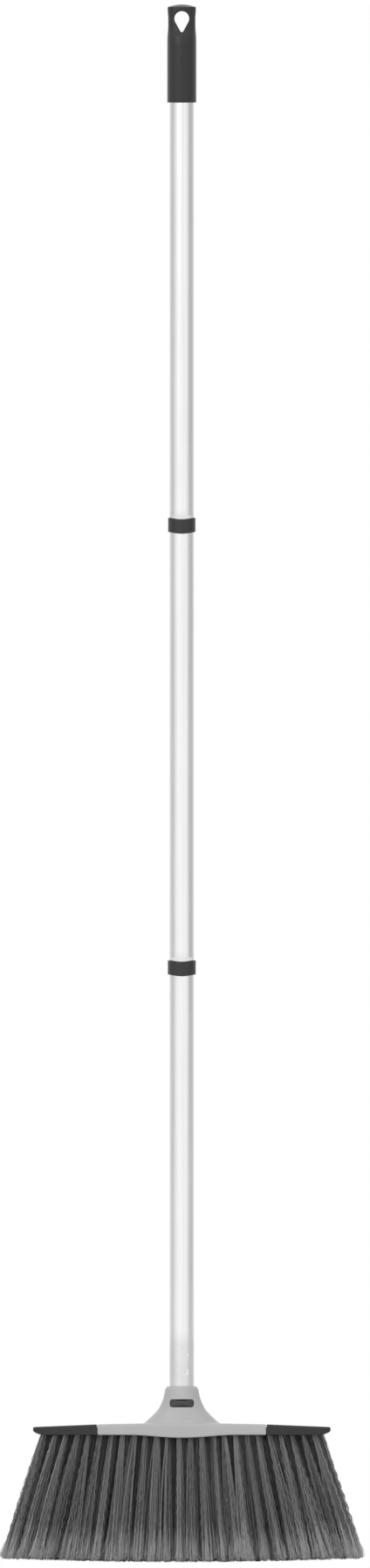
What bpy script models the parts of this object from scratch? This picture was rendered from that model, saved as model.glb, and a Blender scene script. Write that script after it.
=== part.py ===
"""Upright household broom: a wide fan of bristle tufts, a moulded head with soft
end bumpers, and a steel handle in three sections that screw together and into
the head. Metres, +Z up. The front faces -Y, and the bristle tips rest on z = 0.
Sizes are in millimetres and become metres where a mesh is made."""

import math

import bmesh
import bpy
from mathutils import Vector

MM = 0.001
GAP = 0.3  # clearance between two pieces
TURN_STEPS = 32
SHARP = math.radians(32.0)  # an edge that turns more than this is shaded sharp

# Bristles
COLUMNS, ROWS = 25, 5
BRISTLE_LENGTH = 112.4  # free length at the middle of the head
ROOT_HALF = 121.9  # outermost line's place at the head
FAN_SPREAD = 32.5  # how much further out that line's tips are
STAGGER = 0.25  # share of the lines' pitch by which rows lie left and right in turn
TIP_FLARE = 15.0  # how far the tips reach beyond the head's front face
TIP_ARC = 2.8  # the outermost tips end this much higher
MERGE_HEIGHT = 48.0  # the tufts of a line are one mass below this
TUFT_HALF_WIDTH, TUFT_FLAT = 2.35, 1.3
HOLE_DEPTH = 3.2
HOLE_WEB = 1.57  # least plastic between two holes of a line
LINE_GAP = 0.45  # between two lines of tufts
EDGE_MARGIN = 4.0  # from the outer rows' centres to the block's edge

# Head
SHELL_HALF = 76.2
BAR_THICKNESS = 13.2  # at the middle
BAR_HALF_DEPTH = 22.0
BAR_END_TAPER = 9.0
BAR_END_ROUNDING = 34.0
BAR_WALL = 2.3
BAR_CROWN = 1.0  # how far the top falls from the middle to the shell's end
BAR_TOP_FALL = 2.4  # and from there to the bumper's end
BAR_ARCH, BAR_ARCH_HALF = 2.6, 50.0  # the underside is higher beyond its middle part
BAR_TIP, BAR_TIP_LIFT = 8.0, 2.6  # the underside rises again towards the tips
BUMPER_OVERHANG = 12.1
BUMPER_JOINT = 0.3
BLOCK_MARGIN = 7.6
BLOCK_RECESS = 0.6
BADGE_WIDTH, BADGE_HEIGHT, BADGE_CORNER = 21.2, 6.7, 2.2
BADGE_ABOVE_BAR = 17.95
BADGE_PROUD = 0.35
BADGE_WALL = 2.8  # plastic between the badge's recess and the handle's socket
NECK_HEIGHT = 33.4

# Handle
TUBE_R = 11.0
TUBE_WALL = 0.7
LOWER_LENGTH, MIDDLE_LENGTH, UPPER_LENGTH = 382.2, 393.5, 431.9
FLANGE = 2.3
SOCKET_DEPTH = 9.3  # how deep a tube's end sits in the head
SOCKET_WALL = 2.9
SHOULDER = 2.0
INSERT_WALL = 2.2
COLLAR_HEIGHT = 12.8
LOWER_COLLAR_WALL, UPPER_COLLAR_WALL = 1.4, 1.1
COLLAR_WAVE = 0.8  # the rims dip this much at the front and back
TUBE_IN_COLLAR = 6.0
COLLAR_WEB = 1.7
THREAD_LENGTH = 26.0
PLUG_WALL = 2.5
INSERT_LENGTH = 26.0
SPIGOT_LENGTH = 36.0
HEAD_SPIGOT_LENGTH = 48.0
CRIMP_ABOVE_SOCKET = (13.0, 29.0)
CRIMP_AZIMUTH = math.radians(-68.0)
CRIMP_R, CRIMP_DEPTH = 2.6, 0.4

# Grip, measured from the upper tube's top end
GRIP_OVERLAP = 55.5
GRIP_WALL = 1.9
EYE_ABOVE_TUBE = 20.2
EYE_R = 6.6
EYE_TIP_R = 1.5
EYE_TIP_BELOW = 10.6
EYE_HALF_DEPTH = 8.6

# Worked out
SPIGOT_R = TUBE_R - TUBE_WALL - GAP
SECTION_THREAD_R = SPIGOT_R - INSERT_WALL - GAP
HEAD_THREAD_R = TUBE_R - SHOULDER
SKIRT_R = TUBE_R + GAP
BAR_TOP = BRISTLE_LENGTH + BAR_THICKNESS
SOCKET_R = SKIRT_R + SOCKET_WALL
SOCKET_TOP = BAR_TOP + NECK_HEIGHT
SOCKET_SHOULDER = SOCKET_TOP - SOCKET_DEPTH
THREAD_FLOOR = BAR_TOP + 0.5
BUMPER_END = ROOT_HALF + BUMPER_OVERHANG
BLOCK_END = ROOT_HALF + BLOCK_MARGIN
TUBE_SEAT = FLANGE + 2 * GAP  # from a plug's shoulder to the tube's lower end
LOWER_BOTTOM = SOCKET_SHOULDER + TUBE_SEAT
LOWER_COLLAR_Z = LOWER_BOTTOM + LOWER_LENGTH - TUBE_IN_COLLAR
COLLAR_FLOOR = TUBE_IN_COLLAR + GAP + COLLAR_WEB  # the web's upper face
MIDDLE_BOTTOM = LOWER_COLLAR_Z + COLLAR_FLOOR + TUBE_SEAT
UPPER_COLLAR_Z = MIDDLE_BOTTOM + MIDDLE_LENGTH - TUBE_IN_COLLAR
UPPER_BOTTOM = UPPER_COLLAR_Z + COLLAR_FLOOR + TUBE_SEAT
UPPER_TOP = UPPER_BOTTOM + UPPER_LENGTH


# ---------------------------------------------------------------- helpers


def clear_scene():
    for obj in list(bpy.data.objects):
        bpy.data.objects.remove(obj, do_unlink=True)


def collection(name):
    made = bpy.data.collections.new(name)
    bpy.context.scene.collection.children.link(made)
    return made


def material(name, shade, roughness, metallic=0.0):
    mat = bpy.data.materials.new(name)
    mat.use_nodes = True
    shader = mat.node_tree.nodes["Principled BSDF"]
    shader.inputs["Base Color"].default_value = (shade, shade, shade, 1.0)
    shader.inputs["Roughness"].default_value = roughness
    shader.inputs["Metallic"].default_value = metallic
    mat.diffuse_color = (shade, shade, shade, 1.0)
    return mat


def axis(name, height, parent=None):
    """An empty on the handle's axis, for the pieces that move together."""
    obj = bpy.data.objects.new(name, None)
    obj.empty_display_size = 0.02
    obj["height"] = height
    obj.location.z = (height - (parent["height"] if parent else 0.0)) * MM
    obj.parent = parent
    BROOM.objects.link(obj)
    return obj


def place(mesh, name, mat, parent):
    """A piece on its section's axis or, with no material, a cutter."""
    obj = bpy.data.objects.new(name, mesh)
    obj.parent = parent
    if mat:
        mesh.materials.append(mat)
        BROOM.objects.link(obj)
    else:
        CUTTERS.objects.link(obj)
        obj.hide_render = True
        obj.display_type = "WIRE"
    return obj


def finish_mesh(bm, name, parent):
    """Turn a bmesh in world millimetres into a mesh about the parent's origin."""
    low = parent["height"]
    for vert in bm.verts:
        vert.co = Vector((vert.co.x, vert.co.y, vert.co.z - low)) * MM
    bmesh.ops.recalc_face_normals(bm, faces=bm.faces)
    mesh = bpy.data.meshes.new(name)
    bm.to_mesh(mesh)
    bm.free()
    return mesh


def skin(name, verts, faces, mat, parent):
    bm = bmesh.new()
    made = [bm.verts.new(v) for v in verts]
    for face in faces:
        bm.faces.new([made[i] for i in face])
    mesh = finish_mesh(bm, name, parent)
    mesh.shade_smooth()
    mesh.set_sharp_from_angle(angle=SHARP)
    return place(mesh, name, mat, parent)


def loft(name, rings, mat, parent, ring_shaped=False):
    """A closed skin through rings of equal length, with ends or joined round."""
    count = len(rings[0])
    verts = [point for ring in rings for point in ring]
    faces = []
    for level in range(len(rings) - (0 if ring_shaped else 1)):
        a = level * count
        b = ((level + 1) % len(rings)) * count
        for i in range(count):
            j = (i + 1) % count
            faces.append((a + i, a + j, b + j, b + i))
    if not ring_shaped:
        faces.append(tuple(range(count)))
        faces.append(tuple(range(len(verts) - count, len(verts))))
    return skin(name, verts, faces, mat, parent)


def turned(name, profile, mat, parent):
    """A closed (r, z) profile turned about the handle's axis."""
    low = parent["height"]
    count = len(profile)
    mesh = bpy.data.meshes.new(name)
    mesh.from_pydata(
        [(r * MM, 0, (z - low) * MM) for r, z in profile],
        [(i, (i + 1) % count) for i in range(count)],
        [],
    )
    obj = place(mesh, name, mat, parent)
    turn = obj.modifiers.new("turn", "SCREW")
    turn.steps = turn.render_steps = TURN_STEPS
    turn.use_merge_vertices = True
    turn.merge_threshold = 0.00001
    turn.use_smooth_shade = True
    return obj


def boolean(obj, cutter, operation="DIFFERENCE"):
    cut = obj.modifiers.new(cutter.name, "BOOLEAN")
    cut.operation = operation
    cut.object = cutter


def ellipse(z, half_width, half_depth, power=2.0):
    ring = []
    for step in range(TURN_STEPS):
        angle = 2 * math.pi * step / TURN_STEPS
        c, s = math.cos(angle), math.sin(angle)
        x = half_width * math.copysign(abs(c) ** (2 / power), c)
        y = half_depth * math.copysign(abs(s) ** (2 / power), s)
        ring.append((x, y, z))
    return ring


# ---------------------------------------------------------------- handle


def tube(name, bottom, length, parent):
    inner = TUBE_R - TUBE_WALL
    top = bottom + length
    profile = [(TUBE_R, top), (TUBE_R, bottom), (inner, bottom), (inner, top)]
    steel = material(name + "_steel", 0.8, 0.25, 1.0)
    return turned(name, profile, steel, parent)


def thread_plug(name, shoulder, thread_r, thread_length, spigot_length, parent):
    """Hollow plug pressed into a tube's lower end, with its threaded nose below."""
    flange_bottom = shoulder + GAP
    flange_top = flange_bottom + FLANGE
    top = flange_top + spigot_length
    nose = flange_bottom - thread_length
    core = thread_r - PLUG_WALL
    profile = [
        (core, top),
        (SPIGOT_R - 0.5, top),
        (SPIGOT_R, top - 0.6),
        (SPIGOT_R, flange_top),
        (TUBE_R, flange_top),
        (TUBE_R, flange_bottom),
        (thread_r, flange_bottom),
        (thread_r, nose + 0.8),
        (thread_r - 0.7, nose),
        (core, nose),
    ]
    return turned(name, profile, material(name + "_dark", 0.05, 0.5), parent)


def collar(name, low, wall, parent):
    """Threaded insert in a tube's upper end, with a collar over both tubes' ends."""
    bore = SECTION_THREAD_R + GAP
    outer = SKIRT_R + wall
    top = low + COLLAR_HEIGHT
    web = low + TUBE_IN_COLLAR + GAP
    foot = web - INSERT_LENGTH
    rim_and_share = [
        (SKIRT_R, top, 1),
        (outer - 0.45, top, 1),
        (outer, top - 0.6, 1),
        (outer, low + 0.6, 1),
        (outer - 0.45, low, 1),
        (SKIRT_R, low, 1),
        (SKIRT_R, web, 0),
        (SPIGOT_R, web, 0),
        (SPIGOT_R, foot + 0.6, 0),
        (SPIGOT_R - 0.5, foot, 0),
        (bore, foot, 0),
        (bore, web + COLLAR_WEB, 0),
        (SKIRT_R, web + COLLAR_WEB, 0),
    ]
    rings = []
    for step in range(TURN_STEPS):
        angle = 2 * math.pi * step / TURN_STEPS
        wave = COLLAR_WAVE * math.cos(2 * angle)
        c, s = math.cos(angle), math.sin(angle)
        rings.append([(r * c, r * s, z + share * wave) for r, z, share in rim_and_share])
    dark = material(name + "_dark", 0.05, 0.5)
    return loft(name, rings, dark, parent, ring_shaped=True)


def crimp(obj, number, above_socket):
    """A round dimple that holds the tube on its plug."""
    out = TUBE_R + CRIMP_R - CRIMP_DEPTH
    bm = bmesh.new()
    bmesh.ops.create_uvsphere(bm, u_segments=12, v_segments=8, radius=CRIMP_R)
    centre = (
        out * math.cos(CRIMP_AZIMUTH),
        out * math.sin(CRIMP_AZIMUTH),
        SOCKET_TOP + above_socket,
    )
    bmesh.ops.translate(bm, verts=bm.verts, vec=centre)
    name = f"crimp_{number}"
    boolean(obj, place(finish_mesh(bm, name, obj.parent), name, None, obj.parent))


def eye_outline():
    """Teardrop: a wide round top and a narrow round bottom, joined by tangents."""
    top = UPPER_TOP + EYE_ABOVE_TUBE
    lean = math.asin((EYE_R - EYE_TIP_R) / EYE_TIP_BELOW)
    points = []
    for step in range(17):
        a = -lean + (math.pi + 2 * lean) * step / 16
        points.append((EYE_R * math.cos(a), top + EYE_R * math.sin(a)))
    for step in range(5):
        a = math.pi + lean + (math.pi - 2 * lean) * step / 4
        x, z = EYE_TIP_R * math.cos(a), EYE_TIP_R * math.sin(a)
        points.append((x, top - EYE_TIP_BELOW + z))
    return points


def grip(parent):
    """Moulded end grip: a sleeve over the tube that flattens into a hanging eye."""
    r = SKIRT_R + GRIP_WALL
    low = UPPER_TOP - GRIP_OVERLAP
    eye = EYE_HALF_DEPTH
    levels = [
        ellipse(low, r - 0.5, r - 0.5),
        ellipse(low + 0.7, r, r),
        ellipse(UPPER_TOP - 2.0, r, r),
        ellipse(UPPER_TOP + 4.0, r - 0.15, r - 1.0),
        ellipse(UPPER_TOP + 9.0, r - 0.6, eye + 1.3),
        ellipse(UPPER_TOP + 14.0, r - 0.85, eye),
        ellipse(UPPER_TOP + 20.0, r - 0.85, eye),
        ellipse(UPPER_TOP + 25.5, r - 0.5, eye),
        ellipse(UPPER_TOP + 29.4, r - 0.3, eye),
        ellipse(UPPER_TOP + 31.4, r - 1.2, eye - 0.9),
        ellipse(UPPER_TOP + 32.6, r - 3.9, eye - 3.4),
        ellipse(UPPER_TOP + 33.0, r - 7.8, eye - 6.0),
    ]
    body = loft("end_grip", levels, material("grip_dark", 0.055, 0.5), parent)
    top = UPPER_TOP + GAP
    bore = [(0, top), (SKIRT_R, top), (SKIRT_R, low - 5), (0, low - 5)]
    boolean(body, turned("grip_bore", bore, None, parent))
    slab = [[(x, y, z) for x, z in eye_outline()] for y in (-2 * eye, 2 * eye)]
    boolean(body, loft("eye_cutter", slab, None, parent))


# ---------------------------------------------------------------- head


def bar_top(x):
    crown = BAR_CROWN * min(1.0, abs(x) / SHELL_HALF) ** 2
    return BAR_TOP - crown - BAR_TOP_FALL * max(0.0, abs(x) - SHELL_HALF) / (BUMPER_END - SHELL_HALF)


def bar_bottom(x):
    rise = BAR_ARCH * math.sin(math.pi / 2 * min(1.0, abs(x) / BAR_ARCH_HALF)) ** 2
    tip = BAR_TIP_LIFT * max(0.0, abs(x) - (BUMPER_END - BAR_TIP)) / BAR_TIP
    return BRISTLE_LENGTH + rise + tip


def bar_half_depth(x):
    into_end = max(0.0, abs(x) - (BUMPER_END - BAR_END_ROUNDING))
    share = math.sqrt(1 - (into_end / (BAR_END_ROUNDING + 0.5)) ** 2)
    return BAR_HALF_DEPTH - BAR_END_TAPER * (1 - share)


def bar_section(x):
    d, top, low = bar_half_depth(x), bar_top(x), bar_bottom(x)
    back = [(d - 0.5, low), (d, low + 0.7), (d, top - 3.4), (d - 0.9, top - 1.2), (d - 3.2, top)]
    return [(x, y, z) for y, z in back] + [(x, -y, z) for y, z in reversed(back)]


def block_half_depth(x):
    return bar_half_depth(x) - BAR_WALL - GAP


def block_bottom(x):
    return bar_bottom(min(abs(x), BUMPER_END - BAR_TIP)) + BLOCK_RECESS


def block_top(x):
    return bar_top(x) - BAR_WALL - GAP


def column_edges():
    """Where the block is divided between two columns of tufts, and its ends."""
    pitch = 2 * ROOT_HALF / (COLUMNS - 1)
    inner = [-ROOT_HALF + pitch * (i + 0.5) for i in range(COLUMNS - 1)]
    return [-BLOCK_END, *inner, BLOCK_END]


def pocket(name):
    """The room for the bristle block, open below."""
    edges = column_edges()
    edges[0] -= GAP
    edges[-1] += GAP
    rings = []
    for x in edges:
        d, top, low = block_half_depth(x) + GAP, block_top(x) + GAP, bar_bottom(0) - 10
        rings.append([(x, -d, low), (x, d, low), (x, d, top), (x, -d, top)])
    return loft(name, rings, None, HEAD)


def neck(name, grow=0.0):
    """Flared neck from the bar to the handle's socket."""
    # height above the bar, extra half width, extra half depth, squareness
    flare = [
        (-2.2, 23.6, 6.1, 2.3),
        (-0.2, 20.6, 5.8, 2.3),
        (1.7, 17.8, 5.1, 2.3),
        (4.9, 14.3, 4.5, 2.25),
        (8.0, 11.1, 3.9, 2.2),
        (11.2, 8.1, 3.4, 2.2),
        (14.3, 5.9, 3.0, 2.2),
        (17.4, 4.5, 2.7, 2.15),
        (20.6, 3.1, 2.4, 2.1),
        (23.7, 2.1, 1.9, 2.05),
        (28.1, 1.2, 1.2, 2.0),
        (NECK_HEIGHT - 2.6, 0.6, 0.6, 2.0),
        (NECK_HEIGHT - 0.9, -0.3, -0.3, 2.0),
        (NECK_HEIGHT, -1.6, -1.6, 2.0),
    ]
    r = SOCKET_R + grow
    rings = [ellipse(BAR_TOP + z, r + w, r + d, power) for z, w, d, power in flare]
    return loft(name, rings, None, HEAD)


def badge_blank(name, grow, mat):
    """Rounded bar whose front is later shaped by the neck."""
    front = -2 * SOCKET_R
    back = -(HEAD_THREAD_R + BADGE_WALL) + grow
    bm = bmesh.new()
    bmesh.ops.create_cube(bm, size=1.0)
    size = (BADGE_WIDTH + 2 * grow, back - front, BADGE_HEIGHT + 2 * grow)
    bmesh.ops.scale(bm, verts=bm.verts, vec=size)
    corners = [e for e in bm.edges if abs(e.verts[0].co.y - e.verts[1].co.y) > 1.0]
    bmesh.ops.bevel(
        bm, geom=corners, offset=BADGE_CORNER + grow, segments=3, affect="EDGES", profile=0.5
    )
    centre = (0, (front + back) / 2, BAR_TOP + BADGE_ABOVE_BAR)
    bmesh.ops.translate(bm, verts=bm.verts, vec=centre)
    return place(finish_mesh(bm, name, HEAD), name, mat, HEAD)


def shell():
    grey = material("shell_grey", 0.46, 0.45)
    xs = [SHELL_HALF * i / 8 for i in range(-8, 9)]
    body = loft("head_shell", [bar_section(x) for x in xs], grey, HEAD)
    boolean(body, neck("neck_form"), "UNION")
    boolean(body, pocket("shell_pocket"))
    thread = HEAD_THREAD_R + GAP
    bore = [
        (0, SOCKET_TOP + 5),
        (SKIRT_R, SOCKET_TOP + 5),
        (SKIRT_R, SOCKET_SHOULDER),
        (thread, SOCKET_SHOULDER),
        (thread, THREAD_FLOOR),
        (0, THREAD_FLOOR),
    ]
    boolean(body, turned("socket_bore", bore, None, HEAD))
    boolean(body, badge_blank("badge_recess", GAP, None))


def badge():
    body = badge_blank("front_badge", 0.0, material("badge_dark", 0.05, 0.55))
    boolean(body, neck("badge_face", BADGE_PROUD), "INTERSECT")


def bumper(name, side):
    start = SHELL_HALF + BUMPER_JOINT
    shares = (0.0, 0.24, 0.45, 0.62, 0.76, 0.86, 0.93, 0.975, 1.0)
    xs = [side * (start + (BUMPER_END - start) * share) for share in shares]
    rings = [bar_section(x) for x in xs]
    middle = (bar_top(BUMPER_END) + bar_bottom(BUMPER_END)) / 2
    rings[-1] = [(x, 0.94 * y, middle + 0.8 * (z - middle)) for x, y, z in rings[-1]]
    body = loft(name, rings, material(name + "_rubber", 0.045, 0.6), HEAD)
    boolean(body, pocket(name + "_pocket"))


# ---------------------------------------------------------------- bristles


def column_share(column):
    """-1 at the leftmost line of tufts, 1 at the rightmost."""
    return 2 * column / (COLUMNS - 1) - 1


def sideways(row, half_width):
    """How far a row's tufts lie to one side of their lines, with the lines this far apart."""
    return STAGGER * 2 * half_width / (COLUMNS - 1) * (1 if row % 2 else -1)


def root_place(column, row):
    """Centre of a tuft where it leaves the block."""
    line = ROOT_HALF * column_share(column)
    y = (row - 2) * (block_half_depth(line) - EDGE_MARGIN) / 2
    x = line + sideways(row, ROOT_HALF)
    return Vector((x, y, block_bottom(x)))


def tip_place(column, row):
    line = ROOT_HALF * column_share(column)
    half_width = ROOT_HALF + FAN_SPREAD
    taper = block_half_depth(line) / block_half_depth(0)
    y = (row - 2) * 2 / ROWS * (BAR_HALF_DEPTH + TIP_FLARE) * taper
    x = half_width * column_share(column) + sideways(row, half_width)
    return Vector((x, y, TIP_ARC * column_share(column) ** 2))


def inside_hole(column, row, depth):
    """Centre of a tuft this far up inside its hole."""
    root, tip = root_place(column, row), tip_place(column, row)
    return root + (root - tip) * (depth / (root.z - tip.z))


def tuft_half_depth():
    """Set by the outermost line, where the rows are closest."""
    return (root_place(0, 3).y - HOLE_WEB) / 2 - GAP


def hexagon(centre, grow):
    w, q, h = TUFT_HALF_WIDTH + grow, TUFT_FLAT + grow, tuft_half_depth() + grow
    corners = ((q, -h), (w, 0), (q, h), (-q, h), (-w, 0), (-q, -h))
    return [(centre.x + a, centre.y + b, centre.z) for a, b in corners]


def walls(low, high):
    count = len(low)
    return [(low[i], low[(i + 1) % count], high[(i + 1) % count], high[i]) for i in range(count)]


def bristle_block():
    """The plate that holds the tufts, with one blind hole for each."""
    edges = column_edges()
    verts, faces = [], []

    def add(point):
        verts.append(tuple(point))
        return len(verts) - 1

    under, side, over = [], [], []
    for number, x in enumerate(edges):
        b = block_half_depth(x)
        pitch = (b - EDGE_MARGIN) / 2
        lines = (-b, -1.5 * pitch, -0.5 * pitch, 0.5 * pitch, 1.5 * pitch, b)
        under.append([add((x, y, block_bottom(x))) for y in lines])
        over.append([add((x, y, block_top(x))) for y in (-b, b)])
        at_end = number in (0, COLUMNS)
        middles = []
        for r in range(ROWS):
            aside = 0.0 if at_end else sideways(r, ROOT_HALF)
            middles.append(add((x + aside, (r - 2) * pitch, block_bottom(x))))
        side.append(middles)
    for c in range(COLUMNS):
        for r in range(ROWS):
            mouth = [add(p) for p in hexagon(root_place(c, r), GAP)]
            floor = [add(p) for p in hexagon(inside_hole(c, r, HOLE_DEPTH), GAP)]
            right = (under[c + 1][r], side[c + 1][r], under[c + 1][r + 1])
            left = (under[c][r + 1], side[c][r], under[c][r])
            faces += walls([*right, *left], mouth) + walls(mouth, floor) + [tuple(floor)]
        faces.append((over[c][0], over[c + 1][0], over[c + 1][1], over[c][1]))
        for line, edge in ((0, 0), (ROWS, 1)):
            faces.append((under[c][line], under[c + 1][line], over[c + 1][edge], over[c][edge]))
    for end in (0, COLUMNS):
        lower_edge = [under[end][0]]
        for middle, line in zip(side[end], under[end][1:]):
            lower_edge += [middle, line]
        faces.append((*lower_edge, over[end][1], over[end][0]))
    skin("bristle_block", verts, faces, material("block_dark", 0.03, 0.6), HEAD)


def tuft_line(column):
    """One front-to-back line of tufts: apart at the roots, one mass lower down."""
    verts, faces = [], []

    def add(x, y, z):
        verts.append((x, y, z))
        return len(verts) - 1

    root, tip = root_place(column, 2), tip_place(column, 2)
    root_pitch, tip_pitch = root_place(column, 3).y, tip_place(column, 3).y

    def joined_cells(height):
        """The line's cross-section where its tufts touch: one hexagon a tuft."""
        share = (root.z - height) / (root.z - tip.z)
        half_width = ROOT_HALF + FAN_SPREAD * share
        x = half_width * column_share(column)
        half = (2 * half_width / (COLUMNS - 1) - LINE_GAP) / 2
        pitch = root_pitch + (tip_pitch - root_pitch) * share
        lines = [(j - ROWS / 2) * pitch for j in range(ROWS + 1)]
        middles = [(a + b) / 2 for a, b in zip(lines, lines[1:])]
        right = [add(x + 0.62 * half, y, height) for y in lines]
        left = [add(x - 0.62 * half, y, height) for y in lines]
        aside = [x + sideways(row, half_width) for row in range(ROWS)]
        far_right = [add(at + half, y, height) for at, y in zip(aside, middles)]
        far_left = [add(at - half, y, height) for at, y in zip(aside, middles)]
        return [
            (right[k], far_right[k], right[k + 1], left[k + 1], far_left[k], left[k])
            for k in range(ROWS)
        ]

    feet = joined_cells(tip.z)
    joins = joined_cells(MERGE_HEIGHT)
    for row in range(ROWS):
        low, high = feet[row], joins[row]
        sides = walls(low, high)
        if row < ROWS - 1:
            sides[2] = None
        if row > 0:
            sides[5] = None
        top = inside_hole(column, row, HOLE_DEPTH - GAP)
        crown = [add(*p) for p in hexagon(top, 0.0)]
        faces += [low, *[side for side in sides if side], *walls(high, crown), tuple(crown)]
    bristle = material(f"bristle_{column + 1:02d}", 0.09, 0.5)
    skin(f"tuft_line_{column + 1:02d}", verts, faces, bristle, HEAD)


# ---------------------------------------------------------------- build

clear_scene()
BROOM = collection("broom")
CUTTERS = collection("cutters")

HEAD = axis("head_frame", 0.0)
LOWER = axis("lower_section_axis", LOWER_BOTTOM, HEAD)
MIDDLE = axis("middle_section_axis", MIDDLE_BOTTOM, LOWER)
UPPER = axis("upper_section_axis", UPPER_BOTTOM, MIDDLE)

shell()
badge()
bristle_block()
bumper("left_bumper", -1)
bumper("right_bumper", 1)
for column in range(COLUMNS):
    tuft_line(column)

nose = SOCKET_SHOULDER - THREAD_FLOOR - GAP
thread_plug("lower_plug", SOCKET_SHOULDER, HEAD_THREAD_R, nose, HEAD_SPIGOT_LENGTH, LOWER)
lower_tube = tube("lower_tube", LOWER_BOTTOM, LOWER_LENGTH, LOWER)
for number, height in enumerate(CRIMP_ABOVE_SOCKET):
    crimp(lower_tube, number, height)
collar("lower_collar", LOWER_COLLAR_Z, LOWER_COLLAR_WALL, LOWER)

for name, seat, parent in (("middle_plug", LOWER_COLLAR_Z, MIDDLE), ("upper_plug", UPPER_COLLAR_Z, UPPER)):
    thread_plug(name, seat + COLLAR_FLOOR, SECTION_THREAD_R, THREAD_LENGTH, SPIGOT_LENGTH, parent)
tube("middle_tube", MIDDLE_BOTTOM, MIDDLE_LENGTH, MIDDLE)
collar("upper_collar", UPPER_COLLAR_Z, UPPER_COLLAR_WALL, MIDDLE)
tube("upper_tube", UPPER_BOTTOM, UPPER_LENGTH, UPPER)
grip(UPPER)
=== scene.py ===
"""Looks for the upright broom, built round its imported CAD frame.

The tubes, collars, plugs, end grip, head shell, bumpers and badge are finer versions
of their CAD solids, and each line of bristle tufts becomes a bundle of crimped
filaments with split tips. The bristle block keeps its CAD solid. Sizes are in metres,
+Z is up and the front faces -Y.
"""

import math

import bpy
import numpy as np
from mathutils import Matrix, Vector

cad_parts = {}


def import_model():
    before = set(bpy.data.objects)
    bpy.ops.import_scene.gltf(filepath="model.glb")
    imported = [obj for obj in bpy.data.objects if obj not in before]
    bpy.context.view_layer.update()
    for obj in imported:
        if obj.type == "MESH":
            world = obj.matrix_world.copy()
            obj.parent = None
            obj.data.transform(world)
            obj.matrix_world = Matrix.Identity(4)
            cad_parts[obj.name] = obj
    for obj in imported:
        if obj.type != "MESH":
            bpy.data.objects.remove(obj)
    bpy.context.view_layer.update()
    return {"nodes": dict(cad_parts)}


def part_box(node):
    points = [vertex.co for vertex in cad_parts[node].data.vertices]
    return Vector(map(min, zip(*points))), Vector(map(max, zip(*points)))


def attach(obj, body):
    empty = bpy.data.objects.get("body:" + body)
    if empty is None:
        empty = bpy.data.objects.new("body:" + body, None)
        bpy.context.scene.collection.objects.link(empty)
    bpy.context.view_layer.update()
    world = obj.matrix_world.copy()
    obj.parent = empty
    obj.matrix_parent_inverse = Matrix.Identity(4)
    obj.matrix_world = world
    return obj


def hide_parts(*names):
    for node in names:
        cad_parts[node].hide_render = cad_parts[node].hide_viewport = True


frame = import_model()
MM = 0.001
TURN = 2 * math.pi
ROUND = 128  # points round the moulded parts and their bores
RNG = np.random.default_rng(20)


def scene_link(obj):
    bpy.context.scene.collection.objects.link(obj)
    return obj


# ---------------------------------------------------------------- materials


def grey_colour(value):
    return (value, value, value, 1)


class Nodes:
    """Adds and joins the nodes of one tree."""

    def __init__(self, tree):
        self.tree = tree

    def add(self, kind, **settings):
        node = self.tree.nodes.new(kind)
        for key, value in settings.items():
            setattr(node, key, value)
        return node

    def link(self, a, b):
        self.tree.links.new(a, b)

    def ramp(self, value, stops):
        """A grey that runs through (value, grey) stops."""
        node = self.add("ShaderNodeValToRGB")
        marks = node.color_ramp.elements
        while len(marks) < len(stops):
            marks.new(0.5)
        for mark, (at, grey) in zip(marks, stops):
            mark.position = at
            mark.color = grey_colour(grey)
        self.link(value, node.inputs["Fac"])
        return node.outputs["Color"]

    def mapped(self, value, low, high, to_low, to_high):
        """The value carried from one range to another, and held at its ends."""
        node = self.add("ShaderNodeMapRange")
        node.inputs["From Min"].default_value = low
        node.inputs["From Max"].default_value = high
        node.inputs["To Min"].default_value = to_low
        node.inputs["To Max"].default_value = to_high
        self.link(value, node.inputs["Value"])
        return node.outputs["Result"]

    def math(self, operation, a, b):
        node = self.add("ShaderNodeMath", operation=operation)
        for socket, value in zip(node.inputs, (a, b)):
            if isinstance(value, (int, float)):
                socket.default_value = value
            else:
                self.link(value, socket)
        return node.outputs[0]


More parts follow.
